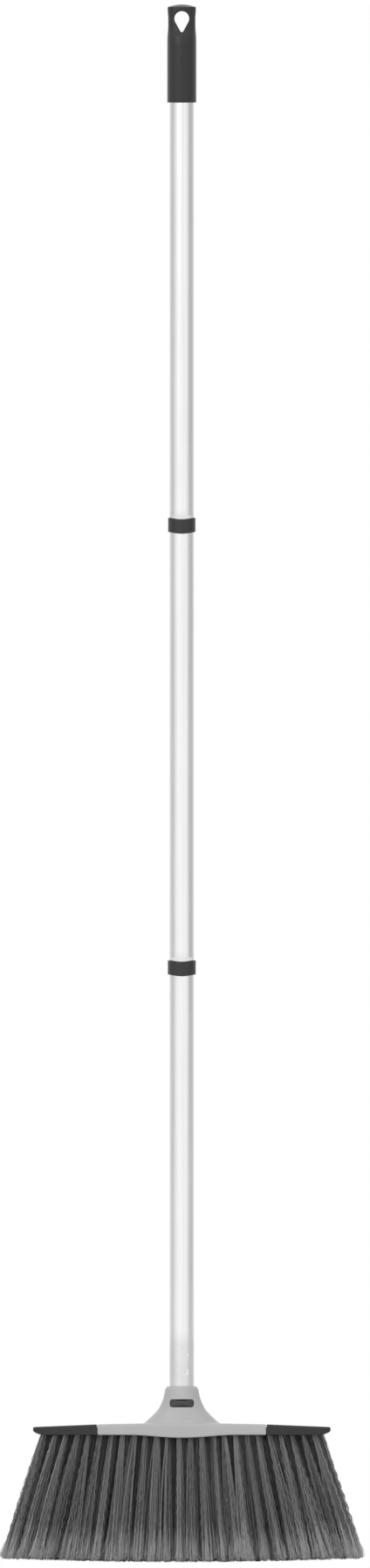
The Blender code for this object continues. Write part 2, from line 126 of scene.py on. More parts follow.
class Material(Nodes):
    """One procedural material round a principled shader."""

    def __init__(self, name, base=0.5, rough=0.5, metallic=0.0):
        self.mat = bpy.data.materials.new(name)
        self.mat.use_nodes = True
        super().__init__(self.mat.node_tree)
        self.shader = self.tree.nodes["Principled BSDF"]
        self.shader.inputs["Metallic"].default_value = metallic
        self.shader.inputs["Roughness"].default_value = rough
        self.shader.inputs["Base Color"].default_value = grey_colour(base)
        self.place = self.add("ShaderNodeTexCoord").outputs["Object"]

    def stretched(self, scale):
        """The place on the object, multiplied by an (x, y, z) scale."""
        node = self.add("ShaderNodeVectorMath", operation="MULTIPLY")
        self.link(self.place, node.inputs[0])
        node.inputs[1].default_value = scale
        return node.outputs[0]

    def noise(self, scale, detail=2.0, where=None):
        node = self.add("ShaderNodeTexNoise")
        node.inputs["Scale"].default_value = scale
        node.inputs["Detail"].default_value = detail
        self.link(where or self.place, node.inputs["Vector"])
        return node.outputs["Fac"]

    def blend(self, share, a, b):
        """Colour a where share is 0 and colour b where it is 1; b may be a plain grey."""
        node = self.add("ShaderNodeMix", data_type="RGBA")
        self.link(share, node.inputs["Factor"])
        self.link(a, node.inputs["A"])
        if isinstance(b, float):
            node.inputs["B"].default_value = grey_colour(b)
        else:
            self.link(b, node.inputs["B"])
        return node.outputs["Result"]

    def height(self):
        node = self.add("ShaderNodeSeparateXYZ")
        self.link(self.place, node.inputs[0])
        return node.outputs["Z"]

    def attribute(self, name):
        return self.add("ShaderNodeAttribute", attribute_name=name).outputs["Fac"]

    def bump(self, height, distance, strength=1.0):
        node = self.add("ShaderNodeBump")
        node.inputs["Strength"].default_value = strength
        node.inputs["Distance"].default_value = distance
        self.link(height, node.inputs["Height"])
        self.link(node.outputs["Normal"], self.shader.inputs["Normal"])

    def colour(self, value):
        self.link(value, self.shader.inputs["Base Color"])

    def roughness(self, value):
        self.link(value, self.shader.inputs["Roughness"])


def moulded(name, grey, rough, grain=0.05, mottling=0.05, specular=0.5, coat=0.0, sheen=0.0):
    """Moulded plastic or rubber: faint mottling, worn edges and a grain this many mm deep."""
    m = Material(name, grey, rough)
    m.shader.inputs["Specular IOR Level"].default_value = specular
    m.shader.inputs["Coat Weight"].default_value = coat
    m.shader.inputs["Coat Roughness"].default_value = 0.22
    m.shader.inputs["Sheen Weight"].default_value = sheen
    m.shader.inputs["Sheen Roughness"].default_value = 0.35
    soft = m.noise(70, 3)
    tint = m.ramp(soft, ((0.3, grey * (1 - mottling)), (0.7, grey * (1 + mottling))))
    edge = m.add("ShaderNodeNewGeometry").outputs["Pointiness"]
    worn = m.mapped(edge, 0.52, 0.6, 0.0, 0.35)
    m.colour(m.blend(worn, tint, min(1.0, grey * 1.35 + 0.01)))
    scuffs = m.noise(1.0, 5, m.stretched((260, 260, 700)))
    m.roughness(m.mapped(scuffs, 0.3, 0.7, rough - 0.07, rough + 0.08))
    m.bump(m.noise(2600, 2), grain * MM)
    return m.mat


def steel(name, duller_below):
    """Drawn and plated steel tube: lengthwise lines, light haze, and darker and duller towards its
    lower end, which on the middle and upper tubes is painted shade from the collar's lip.
    """
    m = Material(name, 0.9, 0.2, 1.0)
    lines = m.noise(1.0, 4, m.stretched((900, 900, 6)))
    haze = m.noise(25, 4)
    # painted shade: the darker grey at the tube's foot stands for the collar's shadow on the middle
    # and upper tubes; on the lower tube it is a darker, duller end above the socket
    foot = m.mapped(m.height(), duller_below, duller_below + 14 * MM, 1.0, 0.0)
    fresh = m.ramp(lines, ((0.25, 0.86), (0.75, 0.93)))
    darker_foot = m.ramp(haze, ((0.3, 0.7), (0.7, 0.78)))
    m.colour(m.blend(foot, fresh, darker_foot))
    dull = m.math("MULTIPLY", foot, 0.1)
    grain = m.math("ADD", m.mapped(lines, 0.3, 0.7, 0.13, 0.2), m.mapped(haze, 0.3, 0.7, 0.0, 0.05))
    m.roughness(m.math("ADD", grain, dull))
    m.bump(lines, 0.012 * MM, 0.5)
    return m.mat


def bristle_material():
    """Extruded filament: each one its own grey, darker on the inner rows as painted shade, paler where
    the tips are split.
    """
    m = Material("bristle_filament", 0.08, 0.42)
    m.shader.inputs["Specular IOR Level"].default_value = 0.45
    own = m.attribute("strand")
    tip = m.attribute("tip")
    body = m.ramp(own, ((0.0, 0.07), (0.5, 0.165), (1.0, 0.3)))
    split = m.ramp(own, ((0.0, 0.24), (0.5, 0.4), (1.0, 0.58)))
    m.colour(m.blend(tip, body, split))
    m.roughness(m.mapped(own, 0, 1, 0.36, 0.5))
    m.bump(m.noise(1.0, 2, m.stretched((3000, 3000, 400))), 0.02 * MM, 0.4)
    return m.mat


# ---------------------------------------------------------------- mesh building


def mesh_object(name, verts, faces, mat, body, stands_for=()):
    """A smooth-shaded mesh with one material, handed to its body if it has one yet."""
    mesh = bpy.data.meshes.new(name)
    mesh.from_pydata([tuple(v) for v in verts], [], [tuple(f) for f in faces])
    mesh.validate()
    mesh.materials.append(mat)
    mesh.shade_smooth()
    mesh.set_sharp_from_angle(angle=math.radians(35))
    obj = scene_link(bpy.data.objects.new(name, mesh))
    settle(obj, body, stands_for)
    return obj


def settle(obj, body, stands_for=()):
    """Gives a finished piece its body and hides the CAD nodes it stands for; one still being cut has
    no body yet.
    """
    if body:
        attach(obj, body)
        if stands_for:
            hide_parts(*stands_for)


def clamped(share):
    return max(0.0, min(1.0, share))


def spread(low, high, count):
    """Both ends and the even steps between them."""
    return [low + (high - low) * i / count for i in range(count + 1)]


def grid_faces(rows, columns, closed_rows=False, closed_columns=True):
    """Quads between neighbouring rows of points."""
    last_row = rows if closed_rows else rows - 1
    last_column = columns if closed_columns else columns - 1
    return [
        (
            r * columns + c,
            r * columns + (c + 1) % columns,
            (r + 1) % rows * columns + (c + 1) % columns,
            (r + 1) % rows * columns + c,
        )
        for r in range(last_row)
        for c in range(last_column)
    ]


def rings_mesh(rings, closed=False):
    """Vertices and faces through rings of equal length; the ends are capped unless closed."""
    count = len(rings[0])
    verts = [p for ring in rings for p in ring]
    faces = grid_faces(len(rings), count, closed)
    if not closed:
        faces.append(tuple(reversed(range(count))))
        faces.append(tuple(range(len(verts) - count, len(verts))))
    return verts, faces


def outward(verts, faces):
    """The faces turned so that the closed surface encloses a positive volume."""
    v = np.array(verts)
    volume = 0.0
    for f in faces:
        a = v[f[0]]
        for i in range(1, len(f) - 1):
            volume += np.dot(a, np.cross(v[f[i]], v[f[i + 1]]))
    return faces if volume > 0 else [tuple(reversed(f)) for f in faces]


def rounded(corners, step=5):
    """A closed (r, z) outline whose (r, z, radius) corners are rounded in equal turns."""
    points = []
    count = len(corners)
    for i, (r, z, radius) in enumerate(corners):
        here = np.array((r, z))
        if radius <= 0:
            points.append(here)
            continue
        back = np.array(corners[i - 1][:2]) - here
        on = np.array(corners[(i + 1) % count][:2]) - here
        back /= np.linalg.norm(back)
        on /= np.linalg.norm(on)
        for k in range(step + 1):
            t = k / step
            points.append(here + radius * ((1 - t) ** 2 * back + t**2 * on))
    return points


def round_ring(radius, z, count):
    """Points round the handle's axis; the radius is a number or a function of the angle."""
    ring = []
    for k in range(count):
        angle = TURN * k / count
        r = radius(angle) if callable(radius) else radius
        ring.append((r * math.cos(angle), r * math.sin(angle), z))
    return ring


def ellipse_ring(z, half_width, half_depth, power=2.0):
    """An ellipse about the handle's axis, or a squarer oval with a power above 2."""
    ring = []
    for k in range(ROUND):
        c, s = math.cos(TURN * k / ROUND), math.sin(TURN * k / ROUND)
        x = half_width * math.copysign(abs(c) ** (2 / power), c)
        y = half_depth * math.copysign(abs(s) ** (2 / power), s)
        ring.append((x, y, z))
    return ring


def smooth_law(stops):
    """A function through (place, values...) stops, with no kinks (monotone cubic)."""
    table = np.array(stops, float)
    xs, ys = table[:, 0], table[:, 1:]
    step = np.diff(xs)[:, None]
    slope = np.diff(ys, axis=0) / step
    tangent = np.zeros_like(ys)
    same_way = slope[1:] * slope[:-1] > 0
    both = np.where(same_way, slope[1:] + slope[:-1], 1.0)
    tangent[1:-1] = np.where(same_way, 2 * slope[1:] * slope[:-1] / both, 0.0)
    tangent[0], tangent[-1] = slope[0], slope[-1]

    def law(x):
        x = min(max(x, xs[0]), xs[-1])
        i = min(max(int(np.searchsorted(xs, x)) - 1, 0), len(xs) - 2)
        h = xs[i + 1] - xs[i]
        t = (x - xs[i]) / h
        return (
            (2 * t**3 - 3 * t**2 + 1) * ys[i]
            + (t**3 - 2 * t**2 + t) * h * tangent[i]
            + (-2 * t**3 + 3 * t**2) * ys[i + 1]
            + (t**3 - t**2) * h * tangent[i + 1]
        )

    return law


def modified(obj, kind, **settings):
    """Adds a modifier and applies it at once."""
    mod = obj.modifiers.new(kind.lower(), kind)
    for key, value in settings.items():
        setattr(mod, key, value)
    graph = bpy.context.evaluated_depsgraph_get()
    graph.update()
    mesh = bpy.data.meshes.new_from_object(obj.evaluated_get(graph))
    obj.modifiers.clear()
    old, obj.data = obj.data, mesh
    mesh.name = old.name
    bpy.data.meshes.remove(old)


def combined(obj, other, operation):
    """Joins or cuts the object with the other one, which is used up."""
    modified(obj, "BOOLEAN", object=other, operation=operation, solver="EXACT")
    bpy.data.objects.remove(other)


PLAIN = bpy.data.materials.new("cutter")


def helper(name, rings):
    """A closed loft that only cuts or joins."""
    verts, faces = rings_mesh(rings)
    return mesh_object(name, verts, outward(verts, faces), PLAIN, None)


def lathe_cutter(name, outline):
    """A cutter turned from (r, z) points, lowest first, closed across the axis at both ends."""
    return helper(name, [round_ring(r, z, ROUND) for r, z in outline])


def turned(name, outline, shift, segments, mat, body, stands_for):
    """An (r, z) outline turned about the handle's axis; shift places a point from r, z and angle."""
    rings = []
    for outline_r, outline_z in outline:
        ring = []
        for k in range(segments):
            angle = TURN * k / segments
            r, z = shift(outline_r, outline_z, angle)
            ring.append((r * math.cos(angle), r * math.sin(angle), z))
        rings.append(ring)
    verts, faces = rings_mesh(rings, closed=True)
    mesh_object(name, verts, outward(verts, faces), mat, body, stands_for)


# ---------------------------------------------------------------- handle

SHELL_LOW, SHELL_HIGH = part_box("head_shell")
SOCKET_TOP = SHELL_HIGH.z
TUBE_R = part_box("lower_tube")[1].x
TUBE_WALL = 0.7 * MM
LIP = 0.3 * MM  # the rounding of a tube's cut ends
FIT = 0.3 * MM  # the room left round a part that slides over or into a tube
CRIMPS = ((13.0 * MM, 2.9 * MM), (29.0 * MM, 1.9 * MM))  # height above the socket, radius
CRIMP_AZIMUTH = math.radians(-68.0)
CRIMP_DEPTH, CRIMP_RIM = 0.5 * MM, 0.06 * MM
SEAM_AZIMUTH, SEAM_SPREAD, SEAM_DEPTH = 1.5, 0.03, 0.03 * MM  # radians, radians, m
PITCH = 5.0 * MM  # the rise of each threaded section in one turn


def tube(name, body, crimped=False):
    """Rolled and plated tube, its cut ends slightly rounded, with a faint lengthwise seam."""
    low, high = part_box(name)
    inner = TUBE_R - TUBE_WALL
    heights = spread(low.z + LIP, high.z - LIP, 60)
    if crimped:
        crimps_low = SOCKET_TOP + 8 * MM
        crimps_high = SOCKET_TOP + CRIMPS[-1][0] + 5 * MM
        heights = spread(low.z + LIP, crimps_low, 6)
        heights += spread(crimps_low, crimps_high, 60)[1:]
        heights += spread(crimps_high, high.z - LIP, 50)[1:]
    outline = [(TUBE_R, z) for z in heights]
    outline += [(TUBE_R - LIP / 2, high.z), (inner + LIP / 2, high.z), (inner, high.z - LIP)]
    outline += [(inner, z) for z in reversed(heights[1:-1])]
    outline += [(inner, low.z + LIP), (inner + LIP / 2, low.z), (TUBE_R - LIP / 2, low.z)]

    def shift(r, z, angle):
        """Sinks the seam, and presses the crimps in with a slight rim round each."""
        depth = SEAM_DEPTH * math.exp(-(((angle - SEAM_AZIMUTH) / SEAM_SPREAD) ** 2))
        for above, size in CRIMPS if crimped else ():
            across = (angle - CRIMP_AZIMUTH + math.pi) % TURN - math.pi
            far = math.hypot(across * TUBE_R, z - SOCKET_TOP - above) / size
            if far < 1.5:
                depth += CRIMP_DEPTH * math.exp(-((far / 0.62) ** 4))
                depth -= CRIMP_RIM * math.exp(-(((far - 1.1) / 0.25) ** 2))
        return r - depth, z

    # each tube is painted darker at its foot: on the middle and upper tubes as painted shade from the
    # collar's lip, on the lower tube above the socket
    duller_below = SOCKET_TOP + 36 * MM if crimped else low.z - 3 * MM
    metal = steel(name + "_steel", duller_below)
    segments = 144 if crimped else 96
    turned(name + "_drawn", outline, shift, segments, metal, body, (name,))


def collar(name, body, tube_below):
    """Moulded sleeve over two tubes' ends, with wavy rims, and its threaded insert inside."""
    low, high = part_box(name)
    wave = 0.8 * MM
    outer, top, bottom = high.x, high.z - wave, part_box(tube_below)[1].z - 6 * MM
    skirt = TUBE_R + FIT
    insert_r = TUBE_R - TUBE_WALL - FIT
    bore = insert_r - 2.2 * MM
    web_low = bottom + 6.3 * MM
    web_high = web_low + 1.7 * MM
    waist = (web_low + web_high) / 2
    corners = [
        (skirt, top, 0.25 * MM),
        (outer, top, 0.7 * MM),
        (outer - 0.12 * MM, (top + bottom) / 2, 2 * MM),
        (outer, bottom, 0.7 * MM),
        (skirt, bottom, 0.25 * MM),
        (skirt, web_low, 0.2 * MM),
        (insert_r, web_low, 0.2 * MM),
        (insert_r, low.z, 0.5 * MM),
        (bore, low.z, 0.5 * MM),
        (bore, web_high, 0.3 * MM),
        (skirt, web_high, 0.2 * MM),
    ]

    def shift(r, z, angle):
        """Waves the sleeve's two rims and raises the mould's parting line on its outside."""
        share = clamped((r - TUBE_R + 0.1 * MM) / (0.4 * MM))
        share *= clamped((abs(z - waist) - 1.2 * MM) / (2 * MM))
        on_outside = r > outer - 0.3 * MM
        seam = 0.06 * MM * math.exp(-((math.sin(angle) / 0.02) ** 2)) * on_outside
        return r + seam, z + share * wave * math.cos(2 * angle)

    plastic = moulded(name + "_plastic", 0.016, 0.42, specular=0.4, coat=0.2)
    outline = rounded(corners)
    turned(name + "_moulded", outline, shift, 120, plastic, body, (name,))


def plug(name, body):
    """Hollow plug in a tube's lower end: a threaded nose, a flange and a ribbed spigot."""
    low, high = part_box(name)
    spigot_r = TUBE_R - TUBE_WALL - FIT
    cad = frame["nodes"][name].data.vertices
    thread_r = max(math.hypot(v.co.x, v.co.y) for v in cad if v.co.z < low.z + 3 * MM)
    bore = thread_r - 2.5 * MM
    edge = 0.3 * MM
    flange_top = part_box(name.replace("_plug", "_tube"))[0].z - FIT
    flange_bottom = flange_top - 2.3 * MM
    nose_top = flange_bottom - 1.2 * MM
    lead_in = 1.2 * MM

    def threaded(z):
        """The nose's radius at one height: it starts lower, and the thread runs out at the top."""
        lead = min(1.0, (z - low.z) / lead_in)
        fade = clamped((nose_top - z) / (1.5 * MM))

        def radius(angle):
            turn = ((z - low.z) / PITCH - angle / TURN) % 1.0
            crest = clamped(1.9 - 6.0 * abs(turn - 0.5))
            return thread_r - 1.15 * MM * (1 - crest * fade) - 0.5 * MM * (1 - lead)

        return radius

    def ribbed(angle):
        return spigot_r - 0.35 * MM * (1 - max(0.0, math.cos(8 * angle)) ** 4)

    profile = [(threaded(z), z) for z in spread(low.z, nose_top, 130)]
    profile += [
        (thread_r - 0.5 * MM, flange_bottom - 1.0 * MM),
        (thread_r - 0.5 * MM, flange_bottom),
        (TUBE_R - edge, flange_bottom),
        (TUBE_R, flange_bottom + edge),
        (TUBE_R, flange_top - edge),
        (TUBE_R - edge, flange_top),
        (spigot_r - 0.4 * MM, flange_top),
        (spigot_r - 0.4 * MM, flange_top + 1 * MM),
    ]
    profile += [(ribbed, z) for z in spread(flange_top + 2 * MM, high.z - 1.5 * MM, 4)]
    profile += [
        (spigot_r - 0.8 * MM, high.z),
        (bore + 0.3 * MM, high.z),
        (bore, high.z - 0.4 * MM),
        (bore, low.z + 0.4 * MM),
        (bore + 0.3 * MM, low.z),
    ]
    verts, faces = rings_mesh([round_ring(r, z, 72) for r, z in profile], closed=True)
    faces = outward(verts, faces)
    plastic = moulded(name + "_plastic", 0.035, 0.45)
    mesh_object(name + "_threaded", verts, faces, plastic, body, (name,))


# ---------------------------------------------------------------- end grip

GRIP_LOW, GRIP_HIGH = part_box("end_grip")
GRIP_R = GRIP_HIGH.x
TUBE_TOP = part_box("upper_tube")[1].z
EYE_HALF_DEPTH = 8.6 * MM
EYE_R, EYE_TIP_R = 6.6 * MM, 1.5 * MM
EYE_Z = TUBE_TOP + 20.2 * MM
EYE_TIP_Z = EYE_Z - 10.6 * MM
EYE_LIP = 2.0 * MM

# height, half width, half depth
grip_law = smooth_law([
    (TUBE_TOP - 2 * MM, GRIP_R, GRIP_R),
    (TUBE_TOP + 4 * MM, GRIP_R - 0.15 * MM, GRIP_R - 1.0 * MM),
    (TUBE_TOP + 9 * MM, GRIP_R - 0.6 * MM, EYE_HALF_DEPTH + 1.3 * MM),
    (TUBE_TOP + 14 * MM, GRIP_R - 0.85 * MM, EYE_HALF_DEPTH),
    (TUBE_TOP + 20 * MM, GRIP_R - 0.85 * MM, EYE_HALF_DEPTH),
    (TUBE_TOP + 25.5 * MM, GRIP_R - 0.5 * MM, EYE_HALF_DEPTH),
    (TUBE_TOP + 28.6 * MM, GRIP_R - 0.35 * MM, EYE_HALF_DEPTH - 0.1 * MM),
])


def eye_ring(grow, inset, side):
    """The eye's teardrop, larger by grow, this far into the grip's face, or in front of it at None."""
    lean = math.asin((EYE_R - EYE_TIP_R) / (EYE_Z - EYE_TIP_Z))
    top, tip = EYE_R + grow, EYE_TIP_R + grow
    over, under = spread(-lean, math.pi + lean, 40), spread(math.pi + lean, TURN - lean, 16)
    flat = [(top * math.cos(a), EYE_Z + top * math.sin(a)) for a in over]
    flat += [(tip * math.cos(a), EYE_TIP_Z + tip * math.sin(a)) for a in under]
    ring = []
    for x, z in flat:
        if inset is None:
            y = 3 * EYE_HALF_DEPTH
        else:
            half_width, half_depth = grip_law(z)
            y = half_depth * math.sqrt(max(0.05, 1 - (x / half_width) ** 2)) - inset
        ring.append((x, side * y, z))
    return ring


def grip_rings():
    """The grip's outside: a rounded rim, a round sleeve, the flattened eye and its domed crown."""
    low = GRIP_LOW.z
    rim = ((0.0, 0.75), (0.12, 0.45), (0.4, 0.15), (0.8, 0.0))  # height and inset in mm
    rings = []
    for rise, inset in rim:
        rings.append(ellipse_ring(low + rise * MM, GRIP_R - inset * MM, GRIP_R - inset * MM))
    for z in spread(low + 2 * MM, TUBE_TOP - 2 * MM, 30):
        rings.append(ellipse_ring(z, GRIP_R, GRIP_R))
    crown = GRIP_HIGH.z - 3.0 * MM
    for z in spread(TUBE_TOP - 1 * MM, crown, 44):
        rings.append(ellipse_ring(z, *grip_law(z)))
    width, depth = grip_law(crown)
    corner = 0.9 * MM
    for a in spread(0, math.pi / 2, 5)[1:]:
        inset = corner * (1 - math.cos(a))
        z = crown + corner * math.sin(a)
        rings.append(ellipse_ring(z, width - inset, depth - inset))
    arch = GRIP_HIGH.z - crown - corner
    for share in (0.9, 0.78, 0.62, 0.45, 0.28, 0.12):
        z = crown + corner + arch * (1 - share**2)
        rings.append(ellipse_ring(z, (width - corner) * share, (depth - corner) * share))
    return rings


def grip(name, body):
    """Soft sleeve over the tube's end that flattens into a hanging eye with rounded lips."""
    verts, faces = rings_mesh(grip_rings())
    plastic = moulded(
        name + "_plastic", 0.015, 0.5, grain=0.08, specular=0.3, coat=0.25, sheen=0.5
    )
    obj = mesh_object(name + "_moulded", verts, outward(verts, faces), plastic, None)
    roof = TUBE_TOP + 0.3 * MM
    skirt = TUBE_R + FIT
    bore = [
        (skirt + 0.5 * MM, GRIP_LOW.z - 5 * MM),
        (skirt + 0.5 * MM, GRIP_LOW.z),
        (skirt, GRIP_LOW.z + 0.6 * MM),
        (skirt, roof - 0.5 * MM),
        (skirt - 0.5 * MM, roof),
    ]
    combined(obj, lathe_cutter("grip_bore", bore), "DIFFERENCE")
    lip = [(EYE_LIP, None)]
    for a in spread(0, math.pi / 2, 6):
        lip.append((EYE_LIP * (1 - math.sin(a)), EYE_LIP * (1 - math.cos(a))))
    front = [eye_ring(grow, inset, -1) for grow, inset in lip]
    back = [eye_ring(grow, inset, 1) for grow, inset in reversed(lip)]
    combined(obj, helper("eye_cutter", front + back), "DIFFERENCE")
    obj.data.set_sharp_from_angle(angle=math.radians(35))
    settle(obj, body, (name,))


# ---------------------------------------------------------------- head

SHELL_HALF = SHELL_HIGH.x
HEAD_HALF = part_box("right_bumper")[1].x
BAR_HALF_DEPTH = SHELL_HIGH.y
UNDERSIDE = SHELL_LOW.z  # the bar's lowest line, at the middle
BAR_TOP = UNDERSIDE + 13.2 * MM
BAR_WALL = 2.3 * MM
SOCKET_R = TUBE_R + 3.2 * MM  # the neck's outside at the socket
THREAD_R = TUBE_R - 2 * MM  # the socket's threaded bore
BADGE_BACK = -(THREAD_R + 2.8 * MM)
BADGE_EDGE = 0.5 * MM


def bar_top(x):
    """The bar's upper line: slightly crowned over the shell, and falling along the bumpers."""
    crown = 1.0 * MM * min(1.0, abs(x) / SHELL_HALF) ** 2
    fall = 2.4 * MM * max(0.0, abs(x) - SHELL_HALF) / (HEAD_HALF - SHELL_HALF)
    return BAR_TOP - crown - fall


def bar_bottom(x):
    """The bar's lower line: lowest at the middle, level further out, and rising at the tips."""
    belly_half, tip_length = 50 * MM, 8 * MM
    rise = 2.6 * MM * math.sin(math.pi / 2 * min(1.0, abs(x) / belly_half)) ** 2
    tip = 2.6 * MM * max(0.0, abs(x) - (HEAD_HALF - tip_length)) / tip_length
    return UNDERSIDE + rise + tip


def bar_half_depth(x):
    """Half the bar's depth, which rounds off towards both ends."""
    rounding = 34 * MM
    into_end = max(0.0, abs(x) - (HEAD_HALF - rounding))
    share = math.sqrt(max(0.0, 1 - (into_end / (rounding + 0.5 * MM)) ** 2))
    return BAR_HALF_DEPTH - 9 * MM * (1 - share)


def bar_ring(x, shrink=0.0, share_over=1.0, share_under=1.0):
    """The bar's rounded cross-section at x, or one that shrinks, by shares above and below."""
    half = bar_half_depth(x) - shrink
    top = bar_top(x) - share_over * shrink
    low = bar_bottom(x) + share_under * shrink
    over = min(3.0 * MM, 0.55 * (top - low))
    under = min(0.9 * MM, 0.3 * (top - low))
    corners = [(half, low, under), (half, top, over), (-half, top, over), (-half, low, under)]
    return [(x, y, z) for y, z in rounded(corners, 8)]


def pocket(name):
    """Room for the bristle block, open below."""
    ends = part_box("bristle_block")[1].x + FIT
    low = UNDERSIDE - 10 * MM
    rings = []
    for x in spread(-ends, ends, 48):
        half, top = bar_half_depth(x) - BAR_WALL, bar_top(x) - BAR_WALL
        rings.append([(x, -half, low), (x, half, low), (x, half, top), (x, -half, top)])
    return helper(name, rings)


# mm above the bar: how far the neck stands out past the socket, sideways and forwards,
# and the power of its oval
neck_law = smooth_law([
    (-2.2, 23.6, 6.1, 2.3),
    (-0.2, 20.6, 5.8, 2.3),
    (1.7, 17.8, 5.1, 2.3),
    (4.9, 14.3, 4.5, 2.25),
    (8.0, 11.1, 3.9, 2.2),
    (11.2, 8.1, 3.4, 2.2),
    (14.3, 5.9, 3.0, 2.2),
    (17.4, 4.5, 2.7, 2.15),
    (20.6, 3.1, 2.4, 2.1),
    (23.7, 2.1, 1.9, 2.05),
    (28.1, 1.2, 1.2, 2.0),
    (30.8, 0.6, 0.6, 2.0),
    (32.5, -0.3, -0.3, 2.0),
    (33.4, -1.6, -1.6, 2.0),
])


def neck_oval(height):
    """The neck's half width, half depth and power at this many mm above the bar."""
    wide, deep, power = neck_law(height)
    return SOCKET_R + wide * MM, SOCKET_R + deep * MM, power


def neck_ring(height):
    return ellipse_ring(BAR_TOP + height * MM, *neck_oval(height))


def badge_outline(grow):
    """The badge's rounded outline in x and z, this much larger, and its middle height."""
    low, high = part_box("front_badge")
    radius = 2.2 * MM + grow
    half_width = (high.x - low.x) / 2 + grow - radius
    half_height = (high.z - low.z) / 2 + grow - radius
    middle = (low.z + high.z) / 2
    points = []
    for quarter, (sx, sz) in enumerate(((1, 1), (-1, 1), (-1, -1), (1, -1))):
        for a in spread(quarter * math.pi / 2, (quarter + 1) * math.pi / 2, 10):
            x = sx * half_width + radius * math.cos(a)
            points.append((x, middle + sz * half_height + radius * math.sin(a)))
    return points, middle


def neck_front(x, z):
    """How far the neck's front face stands out at this place."""
    half_width, half_depth, power = neck_oval((z - BAR_TOP) / MM)
    return -half_depth * (1 - (abs(x) / half_width) ** power) ** (1 / power)


def shell():
    """Moulded bar and neck in one blended skin, with the pocket, socket and badge recess cut out."""
    rings = [bar_ring(x) for x in spread(-SHELL_HALF, SHELL_HALF, 60)]
    verts, faces = rings_mesh(rings)
    grey = moulded("shell_plastic", 0.4, 0.42, grain=0.03, mottling=0.02)
    obj = mesh_object("head_shell_moulded", verts, outward(verts, faces), grey, None)
    neck = [neck_ring(h) for h in spread(-2.2, 30.0, 40) + spread(30.5, 33.4, 8)]
    combined(obj, helper("neck_form", neck), "UNION")
    # small even faces, smoothed, blend the neck into the bar
    modified(obj, "REMESH", mode="VOXEL", voxel_size=0.62 * MM, use_smooth_shade=True)
    modified(obj, "SMOOTH", factor=0.5, iterations=14)
    combined(obj, pocket("shell_pocket"), "DIFFERENCE")
    skirt, thread = TUBE_R + FIT, THREAD_R + FIT
    shoulder = SOCKET_TOP - 9.3 * MM
    bore = [
        (thread, BAR_TOP + 0.5 * MM),
        (thread, shoulder),
        (skirt, shoulder),
        (skirt, SOCKET_TOP - 0.8 * MM),
        (skirt + 1.2 * MM, SOCKET_TOP + 1 * MM),
        (skirt + 1.2 * MM, SOCKET_TOP + 5 * MM),
    ]
    combined(obj, lathe_cutter("socket_bore", bore), "DIFFERENCE")
    outline, _ = badge_outline(FIT)
    recess = [[(x, y, z) for x, z in outline] for y in (-2 * SOCKET_R, BADGE_BACK + FIT)]
    combined(obj, helper("badge_recess", recess), "DIFFERENCE")
    obj.data.shade_smooth()
    obj.data.set_sharp_from_angle(angle=math.radians(40))
    settle(obj, "head", ("head_shell",))


def badge():
    """Plain dark inlay, slightly domed, with a rounded edge."""
    outline, middle = badge_outline(0.0)
    rings = [
        [(x, BADGE_BACK, z) for x, z in outline],
        [(x, neck_front(x, z) + 0.3 * MM, z) for x, z in outline],
    ]
    for a in spread(0, math.pi / 2, 5)[1:]:
        lift = 0.65 * MM * math.sin(a) - 0.3 * MM
        points, _ = badge_outline(-BADGE_EDGE * (1 - math.cos(a)))
        rings.append([(x, neck_front(x, z) - lift, z) for x, z in points])
    points, _ = badge_outline(-BADGE_EDGE)
    for share in (0.75, 0.5, 0.25, 0.04):
        lift = (0.35 + 0.12 * (1 - share**2)) * MM
        inner = [(x * share, middle + (z - middle) * share) for x, z in points]
        rings.append([(x, neck_front(x, z) - lift, z) for x, z in inner])
    verts, faces = rings_mesh(rings)
    faces = outward(verts, faces)
    dark = moulded("badge_plastic", 0.03, 0.35, grain=0.02)
    mesh_object("front_badge_moulded", verts, faces, dark, "head", ("front_badge",))


def bumper(name, side):
    """Soft rubber end of the bar, rounded all over its tip."""
    start = SHELL_HALF + FIT
    tip = 3.2 * MM
    rings = []
    for share in [0.0, 0.004, 0.01] + spread(0.03, 0.9, 24):
        x = start + (HEAD_HALF - start) * share
        rings.append(bar_ring(x, 0.5 * MM * max(0.0, 1 - share / 0.01) ** 2))
    for a in spread(0, math.pi / 2, 12):
        x = HEAD_HALF - tip + tip * math.sin(a)
        rings.append(bar_ring(x, tip * 0.72 * (1 - math.cos(a)), 0.35, 0.7))
    rings = [[(side * x, y, z) for x, y, z in ring] for ring in rings]
    verts, faces = rings_mesh(rings)
    rubber = moulded(name + "_rubber", 0.024, 0.62, grain=0.1, specular=0.35)
    obj = mesh_object(name + "_moulded", verts, outward(verts, faces), rubber, None)
    combined(obj, pocket(name + "_pocket"), "DIFFERENCE")
    obj.data.set_sharp_from_angle(angle=math.radians(40))
    settle(obj, "head", (name,))


# ---------------------------------------------------------------- bristles

ROWS = 5  # tufts from front to back in a line
LOCKS, PER_LOCK = 12, 6  # a tuft's filaments hang together in locks
STEPS, TAIL_STEPS = 42, 5  # points along a filament and along a split tail
TAILS = 2
FILAMENT_R = 0.23 * MM
SPLIT_R = 0.15 * MM
SPLIT_LENGTH = 31 * MM
TUFT_ROOT = 2.35 * MM
TIP_HALF_WIDTH = 5.2 * MM
TIP_MARGIN = 0.5 * MM
OUTER_LINES = 105 * MM  # the lines past here hold their tips in
OUTER_REACH = 5.0 * MM
# painted shade: the inner three rows are greyer than the front and back rows, standing for the shadow
# deep among the tufts
ROW_GREY_AND_SHADE = (0.6, 0.36, 0.42, 0.36, 0.6)  # how light each row is, from front to back
ROW_BURST = (0.14, 0.6, 0.7, 0.6, 0.14)  # how far each row's tufts widen just below the block
GOLDEN_ANGLE = 2.399963


